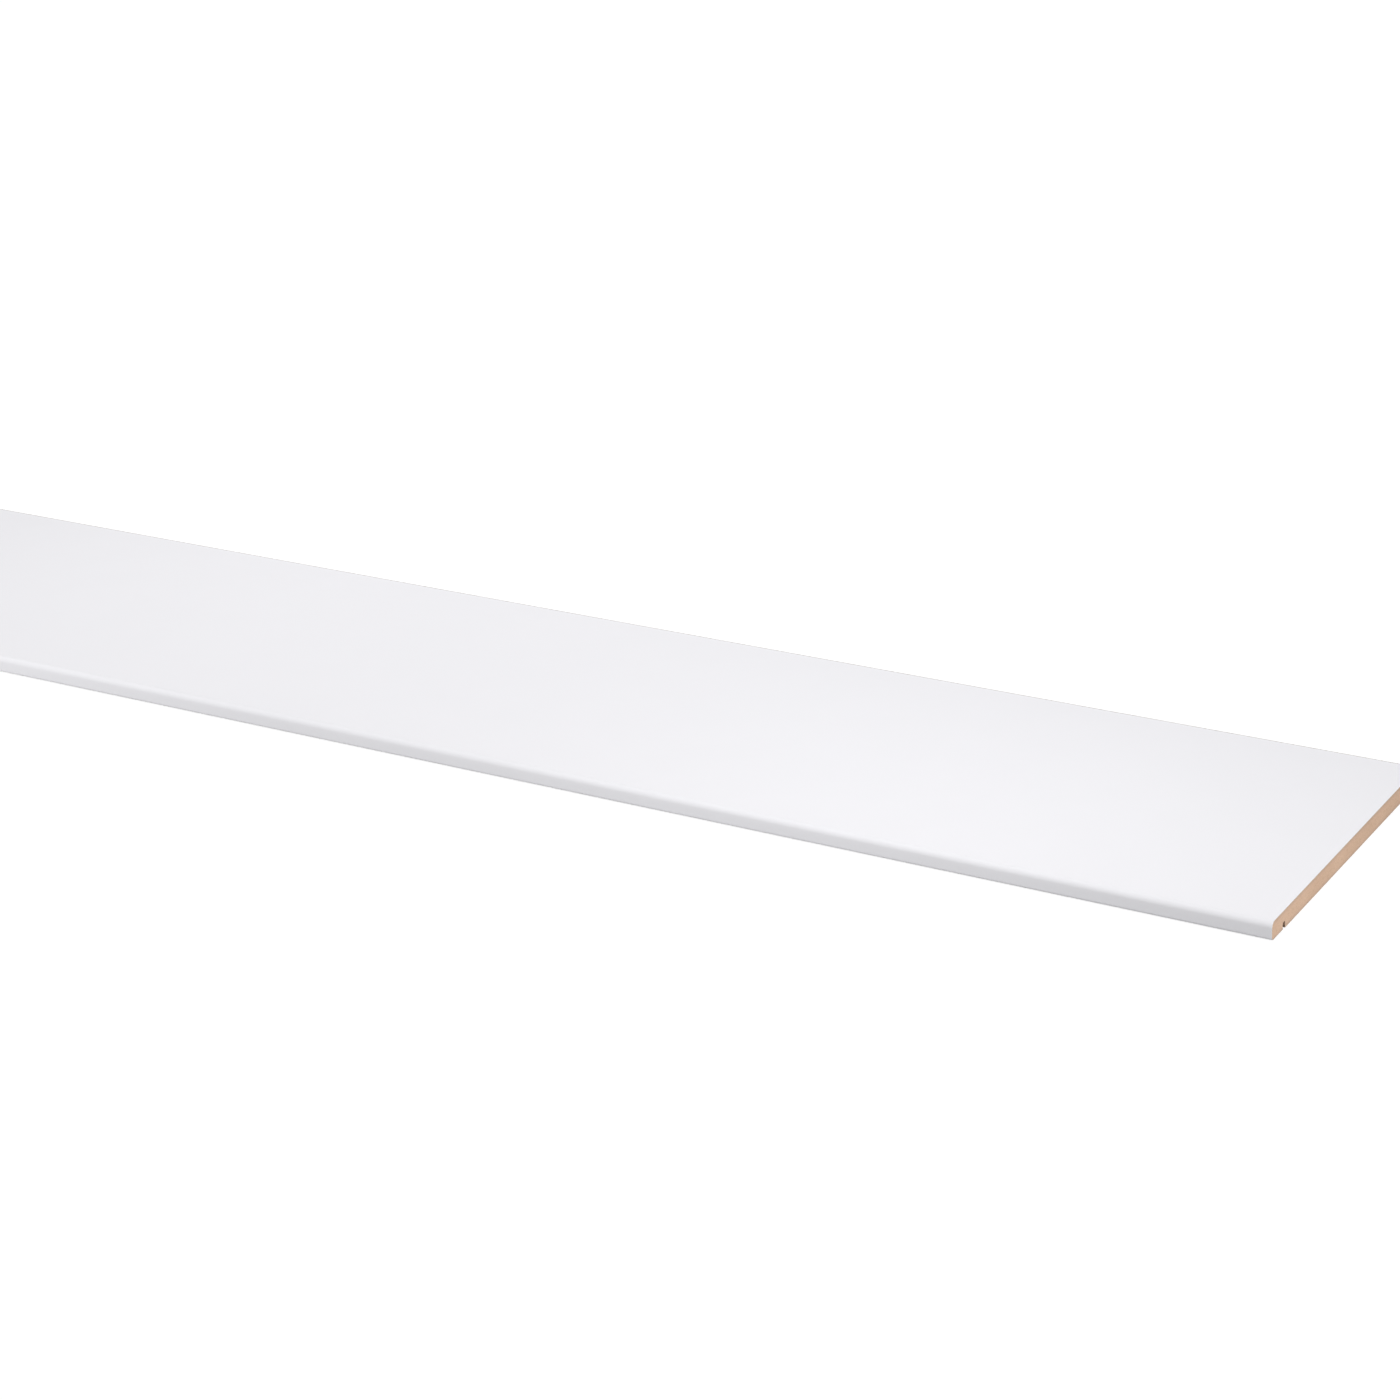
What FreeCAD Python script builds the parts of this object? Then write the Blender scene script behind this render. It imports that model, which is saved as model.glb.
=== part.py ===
# Window sill board in stock length: a board of medium-density fibre with a white laminate
# bonded to its top, bent over the rounded nose and brought back under it to the drip groove.
# Millimetres. +X runs along the board, +Y from the nose towards the window, +Z up.
# The origin is the middle of the plan, on the plane that the board lies on.

import FreeCAD, Part
import math
import os

# The board as it is sold
board_length = 2600.0
board_width = 350.0
board_thickness = 18.0

# The nose, measured on the outside of the laminate
nose_depth = 24.0
nose_top_radius = 6.0
nose_bottom_radius = 3.0

# The underside of the nose stands this far above the bed, so that the board lies on its own bed
nose_lift = 0.3

# The drip groove, cut up from the bed behind the nose
groove_width = 5.0
groove_depth = 7.0

laminate_thickness = 0.4

# The largest share of the front face that each rounded edge may take
top_radius_share = 0.6
bottom_radius_share = 0.3

# Places in the section, worked out from the sizes above
front = -board_width / 2
back = board_width / 2
top = board_thickness
bed = 0.0
nose_underside = bed + nose_lift
groove_front = front + nose_depth
groove_back = groove_front + groove_width
groove_roof = bed + groove_depth
face_height = top - nose_underside
top_radius = min(nose_top_radius, top_radius_share * face_height)
bottom_radius = min(nose_bottom_radius, bottom_radius_share * face_height)


def section_point(y, z):
    """A point of the section, on the board's left end."""
    return FreeCAD.Vector(-board_length / 2, y, z)


def line(start, end):
    """A straight edge of the section, between two (y, z) places."""
    return Part.LineSegment(section_point(*start), section_point(*end)).toShape()


def quarter_arc(centre, radius, start_degrees):
    """A quarter turn round a (y, z) centre, counted from +Y towards +Z."""
    points = []
    for degrees in (start_degrees, start_degrees + 45, start_degrees + 90):
        angle = math.radians(degrees)
        y = centre[0] + radius * math.cos(angle)
        z = centre[1] + radius * math.sin(angle)
        points.append(section_point(y, z))
    return Part.Arc(*points).toShape()


def wrapped_line(inset):
    """The line that the laminate follows from the back edge, over the top and round the nose
    to the groove, this far inside the laminate's outer face. Its arcs share their centres."""
    top_centre = (front + top_radius, top - top_radius)
    bottom_centre = (front + bottom_radius, nose_underside + bottom_radius)
    return [
        line((back, top - inset), (top_centre[0], top - inset)),
        quarter_arc(top_centre, top_radius - inset, 90),
        line((front + inset, top_centre[1]), (front + inset, bottom_centre[1])),
        quarter_arc(bottom_centre, bottom_radius - inset, 180),
        line((bottom_centre[0], nose_underside + inset), (groove_front, nose_underside + inset)),
    ]


def stock(edges):
    """The solid that a closed section makes along the whole length."""
    section = Part.Face(Part.Wire(edges))
    return section.extrude(FreeCAD.Vector(board_length, 0, 0))


def make_mdf_board():
    """The fibre board inside the laminate, with its groove, its bed and its sawn back edge."""
    core_top = top - laminate_thickness
    core_nose = nose_underside + laminate_thickness
    edges = wrapped_line(laminate_thickness)
    edges.append(line((groove_front, core_nose), (groove_front, groove_roof)))
    edges.append(line((groove_front, groove_roof), (groove_back, groove_roof)))
    edges.append(line((groove_back, groove_roof), (groove_back, bed)))
    edges.append(line((groove_back, bed), (back, bed)))
    edges.append(line((back, bed), (back, core_top)))
    return stock(edges)


def make_white_laminate():
    """The laminate, from the back edge to the front wall of the groove."""
    groove_lip = line((groove_front, nose_underside), (groove_front, nose_underside + laminate_thickness))
    back_lip = line((back, top - laminate_thickness), (back, top))
    inner = wrapped_line(laminate_thickness)
    inner.reverse()
    return stock(wrapped_line(0.0) + [groove_lip] + inner + [back_lip])


pieces = {
    "mdf_board": make_mdf_board(),
    "white_laminate": make_white_laminate(),
}

os.makedirs("parts", exist_ok=True)
for name, shape in pieces.items():
    shape.exportStep(os.path.join("parts", name + ".step"))
    print(name, "volume", round(shape.Volume / 1000, 1), "cm3, valid", shape.isValid())
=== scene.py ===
# Looks of a laminated window sill board: bare fibreboard inside, a white laminate bent over its
# nose, and a plain studio stage. Metres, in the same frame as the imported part: +X along the
# board, +Y from the nose to the window, +Z up, with the board lying on Z = 0.

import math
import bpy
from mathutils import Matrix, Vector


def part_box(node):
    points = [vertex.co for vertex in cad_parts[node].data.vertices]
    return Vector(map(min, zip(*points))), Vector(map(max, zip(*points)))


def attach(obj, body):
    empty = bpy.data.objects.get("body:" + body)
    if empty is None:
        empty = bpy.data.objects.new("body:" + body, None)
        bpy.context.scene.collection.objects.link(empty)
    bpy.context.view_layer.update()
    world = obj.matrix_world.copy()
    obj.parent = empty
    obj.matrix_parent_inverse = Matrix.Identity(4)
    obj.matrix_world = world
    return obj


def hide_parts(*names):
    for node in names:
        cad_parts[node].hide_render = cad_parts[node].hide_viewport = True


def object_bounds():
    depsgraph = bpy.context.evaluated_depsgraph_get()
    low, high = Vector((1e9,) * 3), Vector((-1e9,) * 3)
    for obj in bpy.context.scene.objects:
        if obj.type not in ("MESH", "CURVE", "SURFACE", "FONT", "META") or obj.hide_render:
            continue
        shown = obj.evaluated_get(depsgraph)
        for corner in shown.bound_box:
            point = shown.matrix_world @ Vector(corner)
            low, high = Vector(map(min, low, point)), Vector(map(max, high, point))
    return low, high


bl_info = {
    "name": "Window Sill Board",
    "version": (1, 0, 0),
    "blender": (4, 5, 0),
    "location": "View3D > Sidebar > Sill Board",
    "description": "Builds the fibreboard, the laminate and the stage of a window sill board",
    "category": "Object",
}

import bpy
from bpy.props import FloatProperty, FloatVectorProperty, IntProperty, PointerProperty
from mathutils import Matrix, Vector

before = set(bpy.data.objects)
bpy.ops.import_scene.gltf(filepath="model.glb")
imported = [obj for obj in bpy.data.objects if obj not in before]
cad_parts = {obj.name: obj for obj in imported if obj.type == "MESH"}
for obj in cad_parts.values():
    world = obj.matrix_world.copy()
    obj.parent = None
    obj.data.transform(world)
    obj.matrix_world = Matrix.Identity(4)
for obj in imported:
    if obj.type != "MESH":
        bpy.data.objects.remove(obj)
cad_low, cad_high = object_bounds()
core_low, core_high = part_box("mdf_board")
skin_low, skin_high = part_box("white_laminate")

BODY = "root"
MM = 0.001
WHITE = (1.0, 1.0, 1.0, 1.0)

# How far inside each end the last ring of points lies
BOARD_END_ZONE = 0.5 * MM
LAMINATE_END_ZONE = 0.6 * MM

# Points in the laminate's bends for each one in the bare board's
BEND_FINENESS = 4

# Points closer together than this, in metres, are joined
JOIN_DISTANCE = 1e-6

# A face looks down at the bed if the Z of its normal isn't above this
LOOKS_DOWN = -0.9

# Noises: the size of their features in metres, their detail and their roughness
CHIPS = (1 / 700, 3.0, 0.7)
CLOUDS = (60 * MM, 2.0, 0.5)
PEARL = (0.9 * MM, 3.0, 0.6)
WAVES = (25 * MM, 1.0, 0.5)
RESIN = (0.25 * MM, 2.0, 0.5)
# The uneven rim of the painted shade line along the back top edge
BACK_SHADE_RIM = (1.4 * MM, 3.0, 0.6)
FELT = (1.1 * MM, 5.0, 0.68)
BUNDLES = (3.2 * MM, 3.0, 0.6)
SPECKS = (0.9 * MM, 1.0, 0.5)
STRAWS = (1.6 * MM, 2.0, 0.4)
PATCHES = (45 * MM, 2.0, 0.5)
TEETH = (1 / 420, 3.0, 0.7)

# Most of a noise's values lie between these
NOISE_LOW = 0.3
NOISE_HIGH = 0.7

# Spreads: the ends of a range of values, and what each end is taken to
CHIP_REACH = (0.42, 0.75, 0.15, 1.0)
CLOUD_SHARE = (0.35, 0.65, 0.0, 1.0)
RESIN_SHARE = (NOISE_LOW, NOISE_HIGH, 0.0, 1.0)
FELT_SHARE = (0.42, 0.68, 0.0, 0.75)
BUNDLE_SHARE = (0.30, 0.50, 0.22, 0.0)
SPECK_SHARE = (0.70, 0.78, 0.0, 0.55)
STRAW_SHARE = (0.68, 0.76, 0.0, 0.5)
PATCH_SHARE = (0.35, 0.65, 0.0, 0.10)
PRESSED_SHARE = (0.0, 4.5 * MM, 0.34, 0.0)
SCORCH_SHARE = (0.52, 0.75, 0.0, 0.10)
FIBRE_ROUGHNESS = (NOISE_LOW, NOISE_HIGH, 0.82, 0.95)

# Bumps: their strength, and their depth in metres
WAVE_BUMP = (0.01, 1 * MM)
PEARL_BUMP = (0.12, 0.06 * MM)
SAW_BUMP = (0.35, 0.12 * MM)
FELT_BUMP = (0.5, 0.10 * MM)

# The tone of the laminate's clouds, as a share of its white
CLOUD_TONE = 0.996

# How far the pearl grain takes the laminate's roughness down and up
SATIN_SMOOTHER = 0.04
SATIN_ROUGHER = 0.05

# The painted shade line along the back top edge, in shares of its width: how far its uneven
# rim wanders, and where the painted shade starts to thin out and where it ends
BACK_SHADE_WANDER = 0.4
BACK_SHADE_THINS = 0.7
BACK_SHADE_ENDS = 1.2

# How much flatter than long the fibres are, and how far the saw marks lean
FIBRE_FLATNESS = 2.4
SAW_LEAN = 0.35

# The Mix node's sockets for colours: the two that it blends, and the result
MIX_FIRST = 6
MIX_SECOND = 7
MIX_RESULT = 2

# The floor: how far under the bed it lies, its own grey, and its glow where it is seen
FLOOR_DROP = 0.2 * MM
FLOOR_GREY = (0.22, 0.22, 0.22, 1.0)
FLOOR_GLOW = 0.88

# The camera: the width of its sensor in millimetres, and the range in metres that it shows
SENSOR_WIDTH = 36.0
NEAR_CLIP = 0.05
FAR_CLIP = 100.0

# Softboxes: name, power in watts, side, and the places of the lamp and of what it faces, both
# from the board's right front lower corner
SOFTBOXES = (
    ("overhead", 1.28, 0.7, (-0.25, 0.0, 0.60), (-0.25, 0.10, 0.0)),
    ("back_left", 2.08, 1.2, (-1.20, 0.25, 0.60), (-1.10, 0.15, 0.0)),
    ("right_end", 7.5, 0.4, (0.9, 0.02, 0.09), (0.0, 0.05, 0.009)),
    ("left_front", 7.9, 0.28, (-1.92, -1.2, 0.15), (-1.92, 0.0, 0.009)),
    ("near_front", 1.84, 0.25, (-0.475, -0.9, 0.14), (-0.475, 0.0, 0.015)),
    ("back_edge", 88.0, 0.5, (-1.3, 4.0, 0.40), (-1.3, 0.35, 0.009)),
    ("left_end", 6.5, 0.4, (-3.5, 0.02, 0.12), (-2.6, 0.05, 0.009)),
    ("far_left", 0.34, 0.6, (-2.42, 0.175, 0.40), (-2.42, 0.17, 0.0)),
)


class SillSizes(bpy.types.PropertyGroup):
    """Sizes of the board's section and length"""

    length: FloatProperty(
        name="Length",
        description="Length of the stock",
        default=cad_high.x - cad_low.x,
        unit="LENGTH",
    )
    width: FloatProperty(
        name="Width",
        description="Front of the nose to the back edge",
        default=cad_high.y - cad_low.y,
        unit="LENGTH",
    )
    thickness: FloatProperty(
        name="Thickness",
        description="Bed to the laminate's top face",
        default=cad_high.z - cad_low.z,
        unit="LENGTH",
    )
    laminate: FloatProperty(
        name="Laminate thickness",
        description="Thickness of the white laminate",
        default=skin_high.z - core_high.z,
        unit="LENGTH",
        precision=5,
    )
    nose_lift: FloatProperty(
        name="Nose lift",
        description="Height of the laminate under the nose above the bed",
        default=skin_low.z - core_low.z,
        unit="LENGTH",
        precision=5,
    )
    nose_depth: FloatProperty(
        name="Nose depth",
        description="Front of the nose to the drip groove",
        default=24 * MM,
        unit="LENGTH",
    )
    nose_top_radius: FloatProperty(
        name="Nose top radius",
        description="Radius of the nose's upper edge, outside the laminate",
        default=6 * MM,
        unit="LENGTH",
    )
    nose_bottom_radius: FloatProperty(
        name="Nose bottom radius",
        description="Radius of the nose's lower edge, outside the laminate",
        default=3 * MM,
        unit="LENGTH",
    )
    groove_width: FloatProperty(
        name="Groove width",
        description="Width of the drip groove",
        default=5 * MM,
        unit="LENGTH",
    )
    groove_depth: FloatProperty(
        name="Groove depth",
        description="Height of the groove's roof above the bed",
        default=7 * MM,
        unit="LENGTH",
    )
    arris: FloatProperty(
        name="Arris",
        description="Radius of the bare board's sanded edges",
        default=0.3 * MM,
        unit="LENGTH",
        precision=5,
    )
    chip: FloatProperty(
        name="Chipping",
        description="How far the saw's small chips reach in from the laminate's sawn edge",
        default=0.22 * MM,
        unit="LENGTH",
        precision=5,
    )
    # Width of the painted shade line along the back top edge, drawn as chips in the white face
    back_shade_width: FloatProperty(
        name="Back chips",
        description="Width of the chipped line along the laminate's sawn back edge",
        default=0.75 * MM,
        unit="LENGTH",
        precision=5,
    )
    point_spacing: FloatProperty(
        name="Point spacing",
        description="Distance between the points along the laminate's section",
        default=0.5 * MM,
        unit="LENGTH",
        precision=5,
    )
    corner_steps: IntProperty(
        name="Corner steps",
        description="Points in each rounded edge of the bare board",
        default=12,
        min=1,
    )


class SillFinish(bpy.types.PropertyGroup):
    """Colours and roughness of the board's finishes"""

    white: FloatVectorProperty(
        name="Laminate white",
        description="Colour of the laminate's face",
        default=(0.868, 0.862, 0.892),
        subtype="COLOR",
        min=0.0,
        max=1.0,
    )
    cut_laminate: FloatVectorProperty(
        name="Cut laminate",
        description="Colour of the laminate where it is sawn through",
        default=(0.60, 0.54, 0.48),
        subtype="COLOR",
        min=0.0,
        max=1.0,
    )
    # The laminate's core colour, used in its sawn edge and also as the colour of the painted shade
    # line along the back top edge
    laminate_core_and_shade: FloatVectorProperty(
        name="Laminate core",
        description="Colour of the laminate under its white face, where the face is chipped",
        default=(0.36, 0.32, 0.29),
        subtype="COLOR",
        min=0.0,
        max=1.0,
    )
    laminate_roughness: FloatProperty(
        name="Laminate roughness",
        description="Roughness of the laminate's satin face",
        default=0.42,
        subtype="FACTOR",
        min=0.0,
        max=1.0,
    )
    fibre_pale: FloatVectorProperty(
        name="Pale fibre",
        description="Colour of the fibreboard's pale fibres",
        default=(0.72, 0.525, 0.40),
        subtype="COLOR",
        min=0.0,
        max=1.0,
    )
    fibre_mid: FloatVectorProperty(
        name="Middle fibre",
        description="Colour of most of the fibreboard",
        default=(0.60, 0.415, 0.295),
        subtype="COLOR",
        min=0.0,
        max=1.0,
    )
    fibre_dark: FloatVectorProperty(
        name="Dark fibre",
        description="Colour of the fibreboard's dark fibres and bark",
        default=(0.30, 0.18, 0.11),
        subtype="COLOR",
        min=0.0,
        max=1.0,
    )
    fibre_pressed: FloatVectorProperty(
        name="Pressed fibre",
        description="Colour that the dense pressed faces of the fibreboard tend to",
        default=(0.33, 0.25, 0.21),
        subtype="COLOR",
        min=0.0,
        max=1.0,
    )


class SillStage(bpy.types.PropertyGroup):
    """The camera and the studio round the board"""

    lens: FloatProperty(
        name="Lens",
        description="Focal length on a 36 mm sensor",
        default=91.049,
        subtype="DISTANCE_CAMERA",
    )
    camera_place: FloatVectorProperty(
        name="Camera place",
        description="From the board's right front lower corner to the camera",
        default=(1.02894, -2.52512, 1.41594),
        subtype="TRANSLATION",
    )
    camera_heading: FloatProperty(
        name="Heading",
        description="How far the camera looks to the left of +Y",
        default=math.radians(32.2363),
        subtype="ANGLE",
    )
    camera_pitch: FloatProperty(
        name="Pitch",
        description="How far the camera looks down",
        default=math.radians(23.3985),
        subtype="ANGLE",
    )
    camera_roll: FloatProperty(
        name="Roll",
        description="Turn of the camera about its own line of sight",
        default=math.radians(-3.1726),
        subtype="ANGLE",
    )
    room_light: FloatProperty(
        name="Room light",
        description="Level of the even light from all sides",
        default=0.59,
        min=0.0,
    )
    floor_size: FloatProperty(
        name="Floor size",
        description="Side of the square floor",
        default=60.0,
        unit="LENGTH",
    )


class NodeMaker:
    """Adds nodes to a tree from left to right, and sets or joins their inputs"""

    column_width = 190

    def __init__(self, tree):
        self.tree = tree
        self.count = 0

    def add(self, kind, inputs=None, **settings):
        """A new node. Each input is a value, or the output socket that feeds it."""
        node = self.tree.nodes.new(kind)
        node.location = (self.count * self.column_width, 0)
        self.count += 1
        for name, value in settings.items():
            setattr(node, name, value)
        for name, value in (inputs or {}).items():
            self.feed(node.inputs[name], value)
        return node

    def feed(self, socket, value):
        """Joins an output to this input, or gives it a value."""
        if isinstance(value, bpy.types.NodeSocket):
            self.tree.links.new(value, socket)
        else:
            socket.default_value = value

    def math(self, operation, first, second=0.0):
        """The result of one sum on one or two numbers."""
        node = self.add("ShaderNodeMath", {0: first, 1: second}, operation=operation)
        return node.outputs[0]

    def vector(self, *parts):
        """A vector from up to three numbers or outputs, with 0 for the rest."""
        return self.add("ShaderNodeCombineXYZ", dict(enumerate(parts))).outputs[0]

    def parts(self, vector):
        """The X, Y and Z of a vector, by name."""
        return self.add("ShaderNodeSeparateXYZ", {0: vector}).outputs


def spread(maker, value, low, high, to_low, to_high, smooth=True):
    """A value taken from one range to another, and held inside it."""
    node = maker.add(
        "ShaderNodeMapRange",
        {0: value, 1: low, 2: high, 3: to_low, 4: to_high},
        interpolation_type="SMOOTHSTEP" if smooth else "LINEAR",
        clamp=True,
    )
    return node.outputs[0]


def noise(maker, vector, size, detail, roughness):
    """A noise whose features are about this many metres across."""
    node = maker.add(
        "ShaderNodeTexNoise",
        {"Vector": vector, "Scale": 1.0 / size, "Detail": detail, "Roughness": roughness},
    )
    return node.outputs[0]


def geometry_tree(name, number_names):
    """A geometry tree with an input for each of these numbers, for the steps in its corners and
    for its material: its maker, and its inputs by name."""
    sockets = [(number_name, "NodeSocketFloat") for number_name in number_names]
    sockets += [("Corner Steps", "NodeSocketInt"), ("Material", "NodeSocketMaterial")]
    tree = bpy.data.node_groups.new(name, "GeometryNodeTree")
    tree.is_modifier = True
    for socket_name, kind in sockets:
        tree.interface.new_socket(socket_name, in_out="INPUT", socket_type=kind)
    tree.interface.new_socket("Geometry", in_out="OUTPUT", socket_type="NodeSocketGeometry")
    maker = NodeMaker(tree)
    given = maker.add("NodeGroupInput").outputs
    return maker, given


def finish_tree(maker, geometry, material):
    """Ends a tree: its instances are made real and it gets its material."""
    real = maker.add("GeometryNodeRealizeInstances", {"Geometry": geometry})
    painted = maker.add(
        "GeometryNodeSetMaterial", {"Geometry": real.outputs[0], "Material": material}
    )
    maker.add("NodeGroupOutput", {0: painted.outputs[0]})
    return maker.tree


def mark(maker, geometry, name, value, domain, selection=True):
    """The geometry with this number stored under a name, on all of it or on a selection."""
    stored = maker.add(
        "GeometryNodeStoreNamedAttribute",
        {"Geometry": geometry, "Selection": selection, "Name": name, "Value": value},
        data_type="FLOAT",
        domain=domain,
    )
    return stored.outputs[0]


def unmarked(maker, name):
    """1 where the mark of this name is 0, and 0 where it is 1."""
    stored = maker.add("GeometryNodeInputNamedAttribute", {"Name": name}, data_type="FLOAT")
    return maker.math("LESS_THAN", stored.outputs[0], 0.5)


def by_index(maker, kind, values):
    """A field that gives each point its own value, in order."""
    index = maker.add("GeometryNodeInputIndex")
    switch = maker.add("GeometryNodeIndexSwitch", data_type=kind)
    while len(switch.index_switch_items) < len(values):
        switch.index_switch_items.new()
    maker.feed(switch.inputs["Index"], index.outputs[0])
    for number, value in enumerate(values):
        maker.feed(switch.inputs[number + 1], value)
    return switch.outputs[0]


def curve_through(maker, places, cyclic=False):
    """A curve of straight runs through these places, each three sockets or numbers."""
    position = by_index(maker, "VECTOR", [maker.vector(*place) for place in places])
    points = maker.add("GeometryNodePoints", {"Count": len(places), "Position": position})
    curve = maker.add("GeometryNodePointsToCurves", {"Points": points.outputs[0]})
    closed = maker.add(
        "GeometryNodeSetSplineCyclic", {"Geometry": curve.outputs[0], "Cyclic": cyclic}
    )
    return closed.outputs[0]


def rounded_section(maker, corners, steps, cyclic):
    """A section drawn through corners (y, z, radius), with its corners rounded."""
    places = [(y, z, 0.0) for y, z, radius in corners]
    radii = by_index(maker, "FLOAT", [radius for y, z, radius in corners])
    curve = curve_through(maker, places, cyclic)
    rounded = maker.add(
        "GeometryNodeFilletCurve",
        {"Curve": curve, "Count": steps, "Radius": radii, "Limit Radius": True},
        mode="POLY",
    )
    return rounded.outputs[0]


def swept_along_board(maker, section, length, end_zone, capped):
    """The section swept along +X, with one ring of points this far inside each end."""
    half = maker.math("MULTIPLY", length, 0.5)
    inner = maker.math("SUBTRACT", half, end_zone)
    stations = [
        maker.math("MULTIPLY", half, -1.0),
        maker.math("MULTIPLY", inner, -1.0),
        inner,
        half,
    ]
    path = curve_through(maker, [(x, 0.0, 0.0) for x in stations])
    upright = maker.add("GeometryNodeSetCurveNormal", {"Curve": path}, mode="Z_UP")
    # A sweep lays the section's axes along -Y and -Z, so the section is turned half round
    turned = maker.add(
        "GeometryNodeTransform", {"Geometry": section, "Rotation": (0.0, 0.0, math.pi)}
    )
    swept = maker.add(
        "GeometryNodeCurveToMesh",
        {
            "Curve": upright.outputs[0],
            "Profile Curve": turned.outputs[0],
            "Fill Caps": capped,
        },
    )
    return swept.outputs[0]


def fibre_board_tree():
    """The bare board: its whole section with the groove, swept along the board."""
    maker, given = geometry_tree(
        "Fibre Board",
        [
            "Length",
            "Front",
            "Back",
            "Top",
            "Nose Underside",
            "Groove Front",
            "Groove Back",
            "Groove Roof",
            "Bed",
            "Top Radius",
            "Bottom Radius",
            "Arris",
            "End Zone",
        ],
    )
    arris = given["Arris"]
    corners = [
        (given["Front"], given["Top"], given["Top Radius"]),
        (given["Front"], given["Nose Underside"], given["Bottom Radius"]),
        (given["Groove Front"], given["Nose Underside"], 0.0),
        (given["Groove Front"], given["Groove Roof"], arris),
        (given["Groove Back"], given["Groove Roof"], arris),
        (given["Groove Back"], given["Bed"], arris),
        (given["Back"], given["Bed"], arris),
        (given["Back"], given["Top"], 0.0),
    ]
    section = rounded_section(maker, corners, given["Corner Steps"], cyclic=True)
    solid = swept_along_board(maker, section, given["Length"], given["End Zone"], capped=True)

    # Faces that a saw or cutter left: every one that doesn't look down at the bed
    normal = maker.add("GeometryNodeInputNormal").outputs[0]
    sawn = maker.math("GREATER_THAN", maker.parts(normal)["Z"], LOOKS_DOWN)
    marked = mark(maker, solid, "sawn", sawn, "FACE")
    flat = maker.add("GeometryNodeSetShadeSmooth", {"Geometry": marked, "Shade Smooth": False})
    return finish_tree(maker, flat.outputs[0], given["Material"])


def laminate_tree():
    """The laminate: the line that it follows, swept along the board and given its thickness,
    with the saw's small chips along the two sawn ends."""
    maker, given = geometry_tree(
        "Laminate Wrap",
        [
            "Length",
            "Front",
            "Back",
            "Top",
            "Nose Underside",
            "Groove Front",
            "Top Radius",
            "Bottom Radius",
            "Thickness",
            "End Zone",
            "Point Spacing",
            "Chipping",
        ],
    )
    corners = [
        (given["Back"], given["Top"], 0.0),
        (given["Front"], given["Top"], given["Top Radius"]),
        (given["Front"], given["Nose Underside"], given["Bottom Radius"]),
        (given["Groove Front"], given["Nose Underside"], 0.0),
    ]
    line = rounded_section(maker, corners, given["Corner Steps"], cyclic=False)
    even = maker.add(
        "GeometryNodeResampleCurve",
        {"Curve": line, "Length": given["Point Spacing"]},
        mode="LENGTH",
    )
    sheet = swept_along_board(
        maker, even.outputs[0], given["Length"], given["End Zone"], capped=False
    )
    solid = thickened(maker, sheet, given["Thickness"])
    chipped = chipped_ends(maker, solid, given)
    face = unmarked(maker, "cut_edge")
    smooth = maker.add("GeometryNodeSetShadeSmooth", {"Geometry": chipped, "Shade Smooth": face})
    return finish_tree(maker, smooth.outputs[0], given["Material"])


def thickened(maker, sheet, thickness):
    """The sheet made solid: its inner face is the sheet moved inwards, and its rim is the
    laminate's cut edge."""
    inwards = maker.math("MULTIPLY", thickness, -1.0)
    thick = maker.add(
        "GeometryNodeExtrudeMesh",
        {"Mesh": sheet, "Offset Scale": inwards, "Individual": False},
        mode="FACES",
    ).outputs
    inner = mark(maker, thick["Mesh"], "inner", 1.0, "POINT", thick["Top"])
    rim = mark(maker, inner, "cut_edge", 1.0, "FACE", thick["Side"])
    flipped = maker.add("GeometryNodeFlipFaces", {"Mesh": rim})
    joined = maker.add("GeometryNodeJoinGeometry")
    maker.feed(joined.inputs[0], flipped.outputs[0])
    maker.feed(joined.inputs[0], sheet)
    closed = maker.add(
        "GeometryNodeMergeByDistance",
        {"Geometry": joined.outputs[0], "Distance": JOIN_DISTANCE},
    )
    return closed.outputs[0]


def chipped_ends(maker, geometry, given):
    """The laminate's outer arris at both sawn ends, set back unevenly where the saw chipped it."""
    place = maker.add("GeometryNodeInputPosition").outputs[0]
    x = maker.parts(place)["X"]
    half = maker.math("MULTIPLY", given["Length"], 0.5)
    end = maker.math("SUBTRACT", half, maker.math("MULTIPLY", given["End Zone"], 0.5))
    at_end = maker.math("GREATER_THAN", maker.math("ABSOLUTE", x), end)
    chosen = maker.math("MULTIPLY", at_end, unmarked(maker, "inner"))

    depth = spread(maker, noise(maker, place, *CHIPS), *CHIP_REACH, smooth=False)
    reach = maker.math("MULTIPLY", depth, given["Chipping"])
    inwards = maker.math("MULTIPLY", maker.math("SIGN", x), -1.0)
    offset = maker.vector(maker.math("MULTIPLY", reach, inwards))
    moved = maker.add(
        "GeometryNodeSetPosition",
        {"Geometry": geometry, "Selection": chosen, "Offset": offset},
    )
    return moved.outputs[0]


def section_values(sizes, inset, end_zone):
    """What both trees take, for a section whose wrapped side lies this far inside the
    laminate's outer face."""
    half_width = sizes.width / 2
    return {
        "Length": sizes.length,
        "Front": -half_width + inset,
        "Back": half_width,
        "Top": sizes.thickness - inset,
        "Nose Underside": sizes.nose_lift + inset,
        "Groove Front": -half_width + sizes.nose_depth,
        "Top Radius": sizes.nose_top_radius - inset,
        "Bottom Radius": sizes.nose_bottom_radius - inset,
        "End Zone": end_zone,
    }


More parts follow.
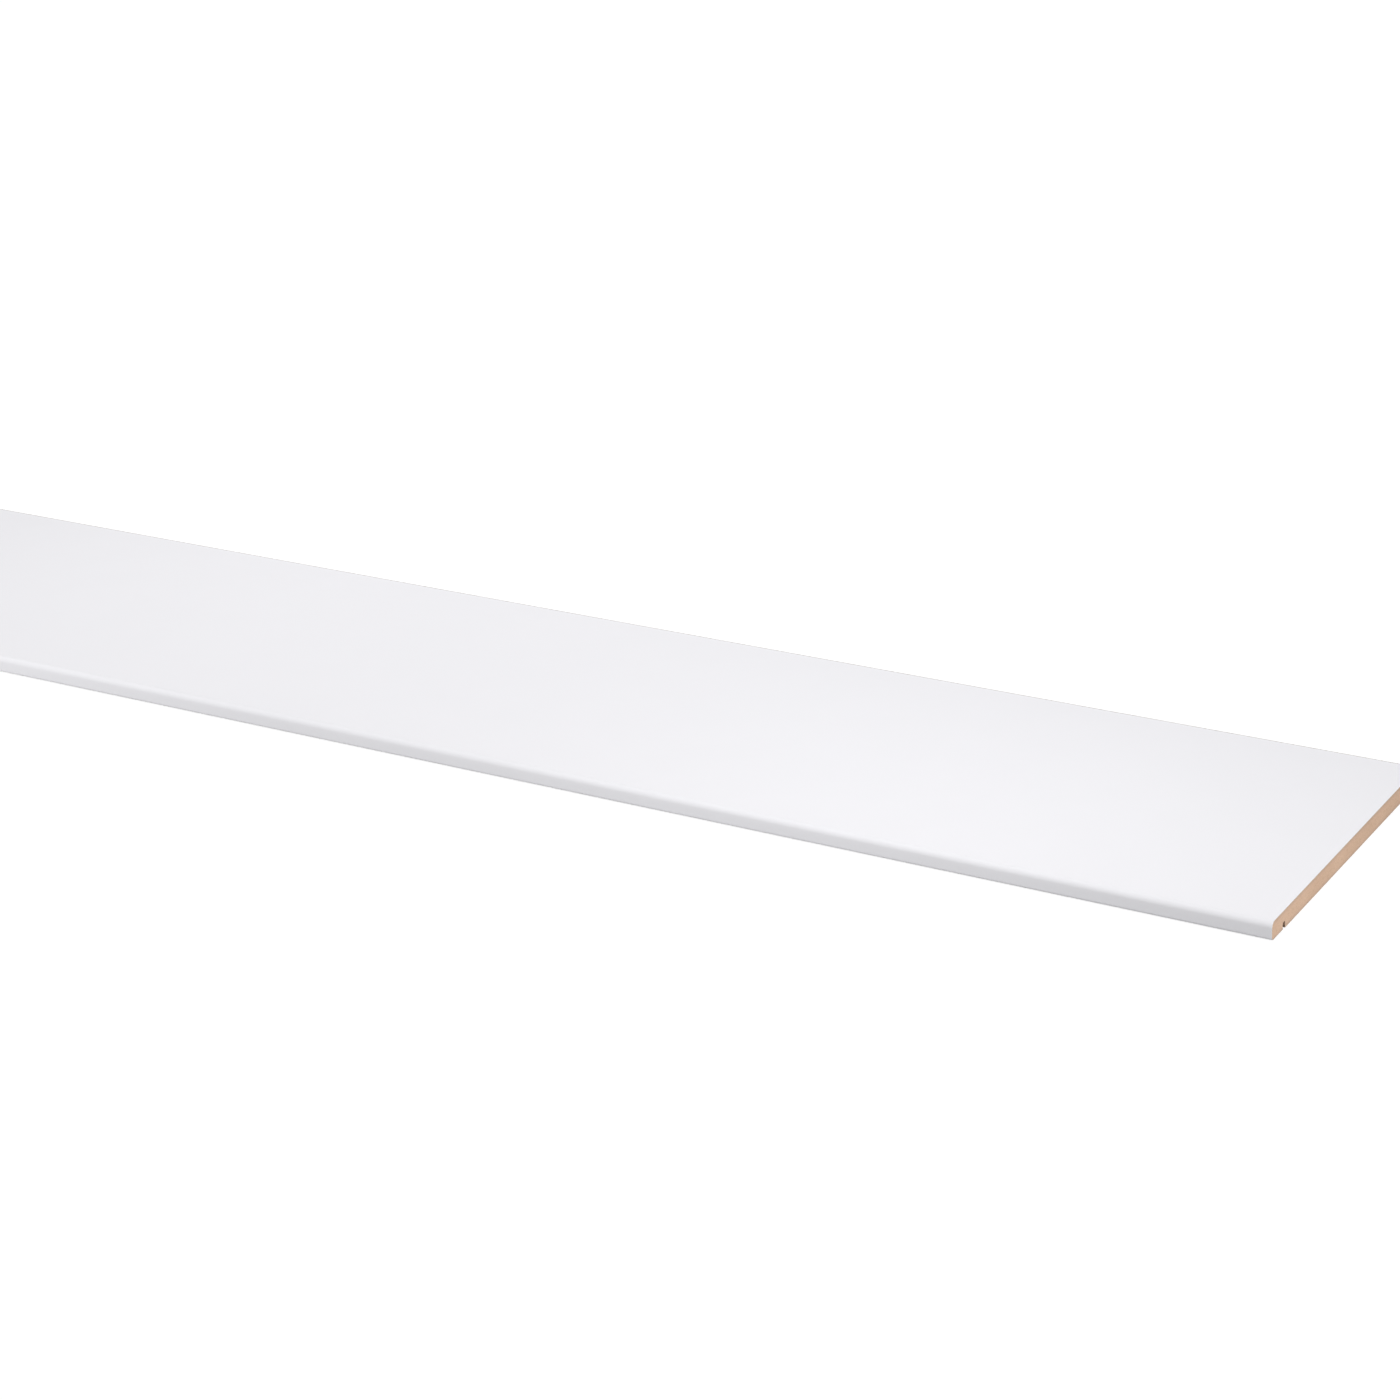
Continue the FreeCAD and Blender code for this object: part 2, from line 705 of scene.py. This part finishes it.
def piece_from_tree(name, tree, values):
    """A plain mesh object made by a geometry tree whose named inputs get these values."""
    piece = bpy.data.objects.new(name, bpy.data.meshes.new(name))
    bpy.context.scene.collection.objects.link(piece)
    modifier = piece.modifiers.new(tree.name, "NODES")
    modifier.node_group = tree
    for item in tree.interface.items_tree:
        if item.in_out == "INPUT":
            modifier[item.identifier] = values[item.name]
    evaluated = piece.evaluated_get(bpy.context.evaluated_depsgraph_get())
    made = bpy.data.meshes.new_from_object(evaluated)
    piece.modifiers.remove(modifier)
    made.name = name
    piece.data = made
    return piece


def new_material(name):
    """A material with an empty tree, and the maker of its nodes."""
    material = bpy.data.materials.new(name)
    material.use_nodes = True
    material.node_tree.nodes.clear()
    return material, NodeMaker(material.node_tree)


def end_material(maker, base, roughness, normal, specular):
    """Ends a material in one surface shader."""
    shader = maker.add(
        "ShaderNodeBsdfPrincipled",
        {"Base Color": base, "Roughness": roughness, "Normal": normal},
    )
    shader.inputs["Specular IOR Level"].default_value = specular
    maker.add("ShaderNodeOutputMaterial", {"Surface": shader.outputs[0]})


def blend_colours(maker, share, first, second):
    """The second colour laid over the first by a share from 0 to 1."""
    node = maker.add("ShaderNodeMix", {"Factor": share}, data_type="RGBA", clamp_factor=True)
    maker.feed(node.inputs[MIX_FIRST], first)
    maker.feed(node.inputs[MIX_SECOND], second)
    return node.outputs[MIX_RESULT]


def colour(value):
    """A colour property as the four numbers that a colour socket takes."""
    return (*value, 1.0)


def bump(maker, height, strength, depth, normal=None):
    """The surface with this relief, over another bump's normal if one is given."""
    inputs = {"Strength": strength, "Distance": depth, "Height": height}
    if normal is not None:
        inputs["Normal"] = normal
    return maker.add("ShaderNodeBump", inputs).outputs[0]


def painted_back_shade(maker, place, sizes):
    """1 on the uneven line along the back top edge where shade is painted in, drawn as chips in
    the white face.
    """
    back_gap = maker.math("SUBTRACT", sizes.width / 2, maker.parts(place)["Y"])
    rim_noise = noise(maker, place, *BACK_SHADE_RIM)
    wander = BACK_SHADE_WANDER * sizes.back_shade_width
    uneven = spread(maker, rim_noise, NOISE_LOW, NOISE_HIGH, -wander, wander)
    thins = BACK_SHADE_THINS * sizes.back_shade_width
    ends = BACK_SHADE_ENDS * sizes.back_shade_width
    return spread(maker, maker.math("ADD", back_gap, uneven), thins, ends, 1.0, 0.0)


def laminate_material(finish, sizes):
    """Satin white decor paper with a fine pearl grain. Its sawn edge is grey brown, and a painted
    shade line along the back top edge is drawn in its darker core colour."""
    material, maker = new_material("white_laminate_satin")
    place = maker.add("ShaderNodeTexCoord").outputs["Object"]
    clouds = spread(maker, noise(maker, place, *CLOUDS), *CLOUD_SHARE)
    deeper = tuple(CLOUD_TONE * part for part in finish.white)
    face = blend_colours(maker, clouds, colour(deeper), colour(finish.white))

    core = colour(finish.laminate_core_and_shade)
    resin = spread(maker, noise(maker, place, *RESIN), *RESIN_SHARE)
    cut_face = blend_colours(maker, resin, core, colour(finish.cut_laminate))
    cut = maker.add("ShaderNodeAttribute", attribute_name="cut_edge").outputs["Fac"]
    base = blend_colours(maker, cut, face, cut_face)
    # Painted shade: an uneven dark line along the back top edge, in the laminate's core colour
    base = blend_colours(maker, painted_back_shade(maker, place, sizes), base, core)

    pearl = noise(maker, place, *PEARL)
    smoothest = finish.laminate_roughness - SATIN_SMOOTHER
    roughest = finish.laminate_roughness + SATIN_ROUGHER
    rough = spread(maker, pearl, NOISE_LOW, NOISE_HIGH, smoothest, roughest, smooth=False)
    slow = bump(maker, noise(maker, place, *WAVES), *WAVE_BUMP)
    fine = bump(maker, pearl, *PEARL_BUMP, normal=slow)
    end_material(maker, base, rough, fine, specular=0.5)
    return material


def mottled_colour(maker, place, flattened, felt, finish):
    """The colour of most of the board, mottled with paler and darker fibres."""
    bundles = noise(maker, flattened, *BUNDLES)
    specks = noise(maker, flattened, *SPECKS)
    straws = noise(maker, flattened, *STRAWS)
    patches = noise(maker, place, *PATCHES)
    mottled = colour(finish.fibre_mid)
    for pattern, share, fibre in (
        (felt, FELT_SHARE, finish.fibre_pale),
        (bundles, BUNDLE_SHARE, finish.fibre_dark),
        (specks, SPECK_SHARE, finish.fibre_dark),
        (straws, STRAW_SHARE, finish.fibre_pale),
        (patches, PATCH_SHARE, finish.fibre_dark),
    ):
        mottled = blend_colours(maker, spread(maker, pattern, *share), mottled, colour(fibre))
    return mottled


def saw_marks(maker, place):
    """Fine marks that run up the sawn faces and lean a little. The sanded bed has none."""
    sawn = maker.add("ShaderNodeAttribute", attribute_name="sawn").outputs["Fac"]
    ways = maker.parts(place)
    along = maker.math("ADD", ways["X"], ways["Y"])
    lean = maker.math("MULTIPLY", ways["Z"], SAW_LEAN)
    tooth = noise(maker, maker.vector(maker.math("ADD", along, lean)), *TEETH)
    return maker.math("MULTIPLY", tooth, sawn)


def fibre_material(finish, sizes):
    """Bare medium-density fibreboard: felted fibres that lie flat in the board, dense faces,
    a looser middle, and saw marks on the faces that were sawn."""
    material, maker = new_material("bare_fibreboard")
    place = maker.add("ShaderNodeTexCoord").outputs["Object"]
    flattened = maker.add(
        "ShaderNodeMapping", {"Vector": place, "Scale": (1.0, 1.0, FIBRE_FLATNESS)}
    ).outputs[0]
    felt = noise(maker, flattened, *FELT)
    base = mottled_colour(maker, place, flattened, felt, finish)

    # The pressed faces are denser, darker and greyer than the middle of the thickness
    height = maker.parts(place)["Z"]
    from_top = maker.math("SUBTRACT", sizes.thickness - sizes.laminate, height)
    from_face = maker.math("MINIMUM", height, from_top)
    pressed = spread(maker, from_face, *PRESSED_SHARE)
    base = blend_colours(maker, pressed, base, colour(finish.fibre_pressed))

    marks = saw_marks(maker, place)
    scorch = spread(maker, marks, *SCORCH_SHARE)
    base = blend_colours(maker, scorch, base, colour(finish.fibre_dark))

    rough = spread(maker, felt, *FIBRE_ROUGHNESS, smooth=False)
    sawn_relief = bump(maker, marks, *SAW_BUMP)
    relief = bump(maker, felt, *FELT_BUMP, normal=sawn_relief)
    end_material(maker, base, rough, relief, specular=0.2)
    return material


class SILL_OT_fibre_board(bpy.types.Operator):
    """Build the bare fibreboard with its drip groove"""

    bl_idname = "sill.fibre_board"
    bl_label = "Fibreboard"

    def execute(self, context):
        scene = context.scene
        sizes = scene.sill_sizes
        values = section_values(sizes, sizes.laminate, BOARD_END_ZONE)
        values["Groove Back"] = values["Groove Front"] + sizes.groove_width
        values["Groove Roof"] = sizes.groove_depth
        values["Bed"] = 0.0
        values["Arris"] = sizes.arris
        values["Corner Steps"] = sizes.corner_steps
        values["Material"] = fibre_material(scene.sill_finish, sizes)
        board = piece_from_tree("fibre_board", fibre_board_tree(), values)
        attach(board, BODY)
        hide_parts("mdf_board")
        return {"FINISHED"}


class SILL_OT_laminate(bpy.types.Operator):
    """Build the white laminate that wraps the top and the nose"""

    bl_idname = "sill.laminate"
    bl_label = "Laminate"

    def execute(self, context):
        scene = context.scene
        sizes = scene.sill_sizes
        values = section_values(sizes, 0.0, LAMINATE_END_ZONE)
        values["Thickness"] = sizes.laminate
        values["Point Spacing"] = sizes.point_spacing
        values["Chipping"] = sizes.chip
        values["Corner Steps"] = BEND_FINENESS * sizes.corner_steps
        values["Material"] = laminate_material(scene.sill_finish, sizes)
        laminate = piece_from_tree("laminate", laminate_tree(), values)
        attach(laminate, BODY)
        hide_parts("white_laminate")
        return {"FINISHED"}


def shows_background(maker):
    """1 for rays that show the background as it looks: those of the camera, in gloss and
    through glass."""
    path = maker.add("ShaderNodeLightPath").outputs
    seen = maker.math("MAXIMUM", path["Is Camera Ray"], path["Is Glossy Ray"])
    return maker.math("MAXIMUM", seen, path["Is Transmission Ray"])


def make_floor(stage):
    """A plain white floor that keeps the board's soft shadow."""
    half = stage.floor_size / 2
    mesh = bpy.data.meshes.new("floor")
    level = -FLOOR_DROP
    corners = [
        (-half, -half, level),
        (half, -half, level),
        (half, half, level),
        (-half, half, level),
    ]
    mesh.from_pydata(corners, [], [(0, 1, 2, 3)])
    floor = bpy.data.objects.new("floor", mesh)
    bpy.context.scene.collection.objects.link(floor)
    material, maker = new_material("white_floor")
    paint = maker.add("ShaderNodeBsdfDiffuse", {"Color": FLOOR_GREY})
    glow_level = maker.math("MULTIPLY", shows_background(maker), FLOOR_GLOW)
    glow = maker.add("ShaderNodeEmission", {"Color": WHITE, "Strength": glow_level})
    both = maker.add("ShaderNodeAddShader", {0: paint.outputs[0], 1: glow.outputs[0]})
    maker.add("ShaderNodeOutputMaterial", {"Surface": both.outputs[0]})
    mesh.materials.append(material)


def make_world(stage):
    """An even white room: full white where it is seen, and dimmer as light."""
    world = bpy.data.worlds.new("studio")
    bpy.context.scene.world = world
    world.use_nodes = True
    world.node_tree.nodes.clear()
    maker = NodeMaker(world.node_tree)
    light = maker.add("ShaderNodeBackground", {"Color": WHITE, "Strength": stage.room_light})
    seen = maker.add("ShaderNodeBackground", {"Color": WHITE, "Strength": 1.0})
    mixed = maker.add(
        "ShaderNodeMixShader",
        {0: shows_background(maker), 1: light.outputs[0], 2: seen.outputs[0]},
    )
    maker.add("ShaderNodeOutputWorld", {"Surface": mixed.outputs[0]})


def make_softbox(name, power, side, place, target):
    """A square lamp of this side, in metres, that faces a target. It lights the scene, but isn't
    seen by the camera or in gloss."""
    data = bpy.data.lights.new(name, "AREA")
    data.energy = power
    data.size = side
    lamp = bpy.data.objects.new(name, data)
    lamp.visible_camera = False
    lamp.visible_glossy = False
    lamp.location = place
    lamp.rotation_mode = "QUATERNION"
    lamp.rotation_quaternion = (target - place).to_track_quat("-Z", "Y")
    bpy.context.scene.collection.objects.link(lamp)


def make_camera(stage, corner):
    """The camera at the photograph's place and angle, from the board's near front corner."""
    data = bpy.data.cameras.new("camera")
    data.sensor_width = SENSOR_WIDTH
    data.lens = stage.lens
    data.clip_start = NEAR_CLIP
    data.clip_end = FAR_CLIP
    camera = bpy.data.objects.new("camera", data)
    bpy.context.scene.collection.objects.link(camera)
    heading = stage.camera_heading
    level = Vector((math.cos(heading), math.sin(heading), 0.0))
    forward = Vector(
        (
            -math.sin(heading) * math.cos(stage.camera_pitch),
            math.cos(heading) * math.cos(stage.camera_pitch),
            -math.sin(stage.camera_pitch),
        )
    )
    upright = level.cross(forward)
    right = math.cos(stage.camera_roll) * level + math.sin(stage.camera_roll) * upright
    up = right.cross(forward)
    turn = Matrix((right, up, -forward)).transposed().to_4x4()
    camera.matrix_world = Matrix.Translation(corner + Vector(stage.camera_place)) @ turn
    bpy.context.scene.camera = camera


class SILL_OT_stage(bpy.types.Operator):
    """Set up the floor, the lamps and the camera"""

    bl_idname = "sill.stage"
    bl_label = "Stage"

    def execute(self, context):
        stage = context.scene.sill_stage
        sizes = context.scene.sill_sizes
        corner = Vector((sizes.length / 2, -sizes.width / 2, 0.0))
        make_camera(stage, corner)
        make_floor(stage)
        make_world(stage)
        for name, power, side, place, target in SOFTBOXES:
            make_softbox(name, power, side, corner + Vector(place), corner + Vector(target))
        context.scene.view_settings.view_transform = "Standard"
        return {"FINISHED"}


class SILL_PT_board(bpy.types.Panel):
    """Sizes, finishes and building steps of the window sill board"""

    bl_label = "Window Sill Board"
    bl_idname = "SILL_PT_board"
    bl_space_type = "VIEW_3D"
    bl_region_type = "UI"
    bl_category = "Sill Board"

    def draw(self, context):
        layout = self.layout
        for settings in (
            context.scene.sill_sizes,
            context.scene.sill_finish,
            context.scene.sill_stage,
        ):
            column = layout.column(align=True)
            for name in settings.__annotations__:
                column.prop(settings, name)
        for step in STEPS:
            layout.operator(step.bl_idname)


STEPS = (SILL_OT_fibre_board, SILL_OT_laminate, SILL_OT_stage)
CLASSES = (SillSizes, SillFinish, SillStage, *STEPS, SILL_PT_board)


def register():
    """Register the classes and the settings that they read."""
    for kind in CLASSES:
        bpy.utils.register_class(kind)
    bpy.types.Scene.sill_sizes = PointerProperty(type=SillSizes)
    bpy.types.Scene.sill_finish = PointerProperty(type=SillFinish)
    bpy.types.Scene.sill_stage = PointerProperty(type=SillStage)


def unregister():
    """Take the settings and the classes out again."""
    del bpy.types.Scene.sill_stage
    del bpy.types.Scene.sill_finish
    del bpy.types.Scene.sill_sizes
    for kind in reversed(CLASSES):
        bpy.utils.unregister_class(kind)


def main():
    """Build the board and its stage."""
    register()
    bpy.ops.sill.fibre_board()
    bpy.ops.sill.laminate()
    bpy.ops.sill.stage()


if __name__ == "__main__":
    main()
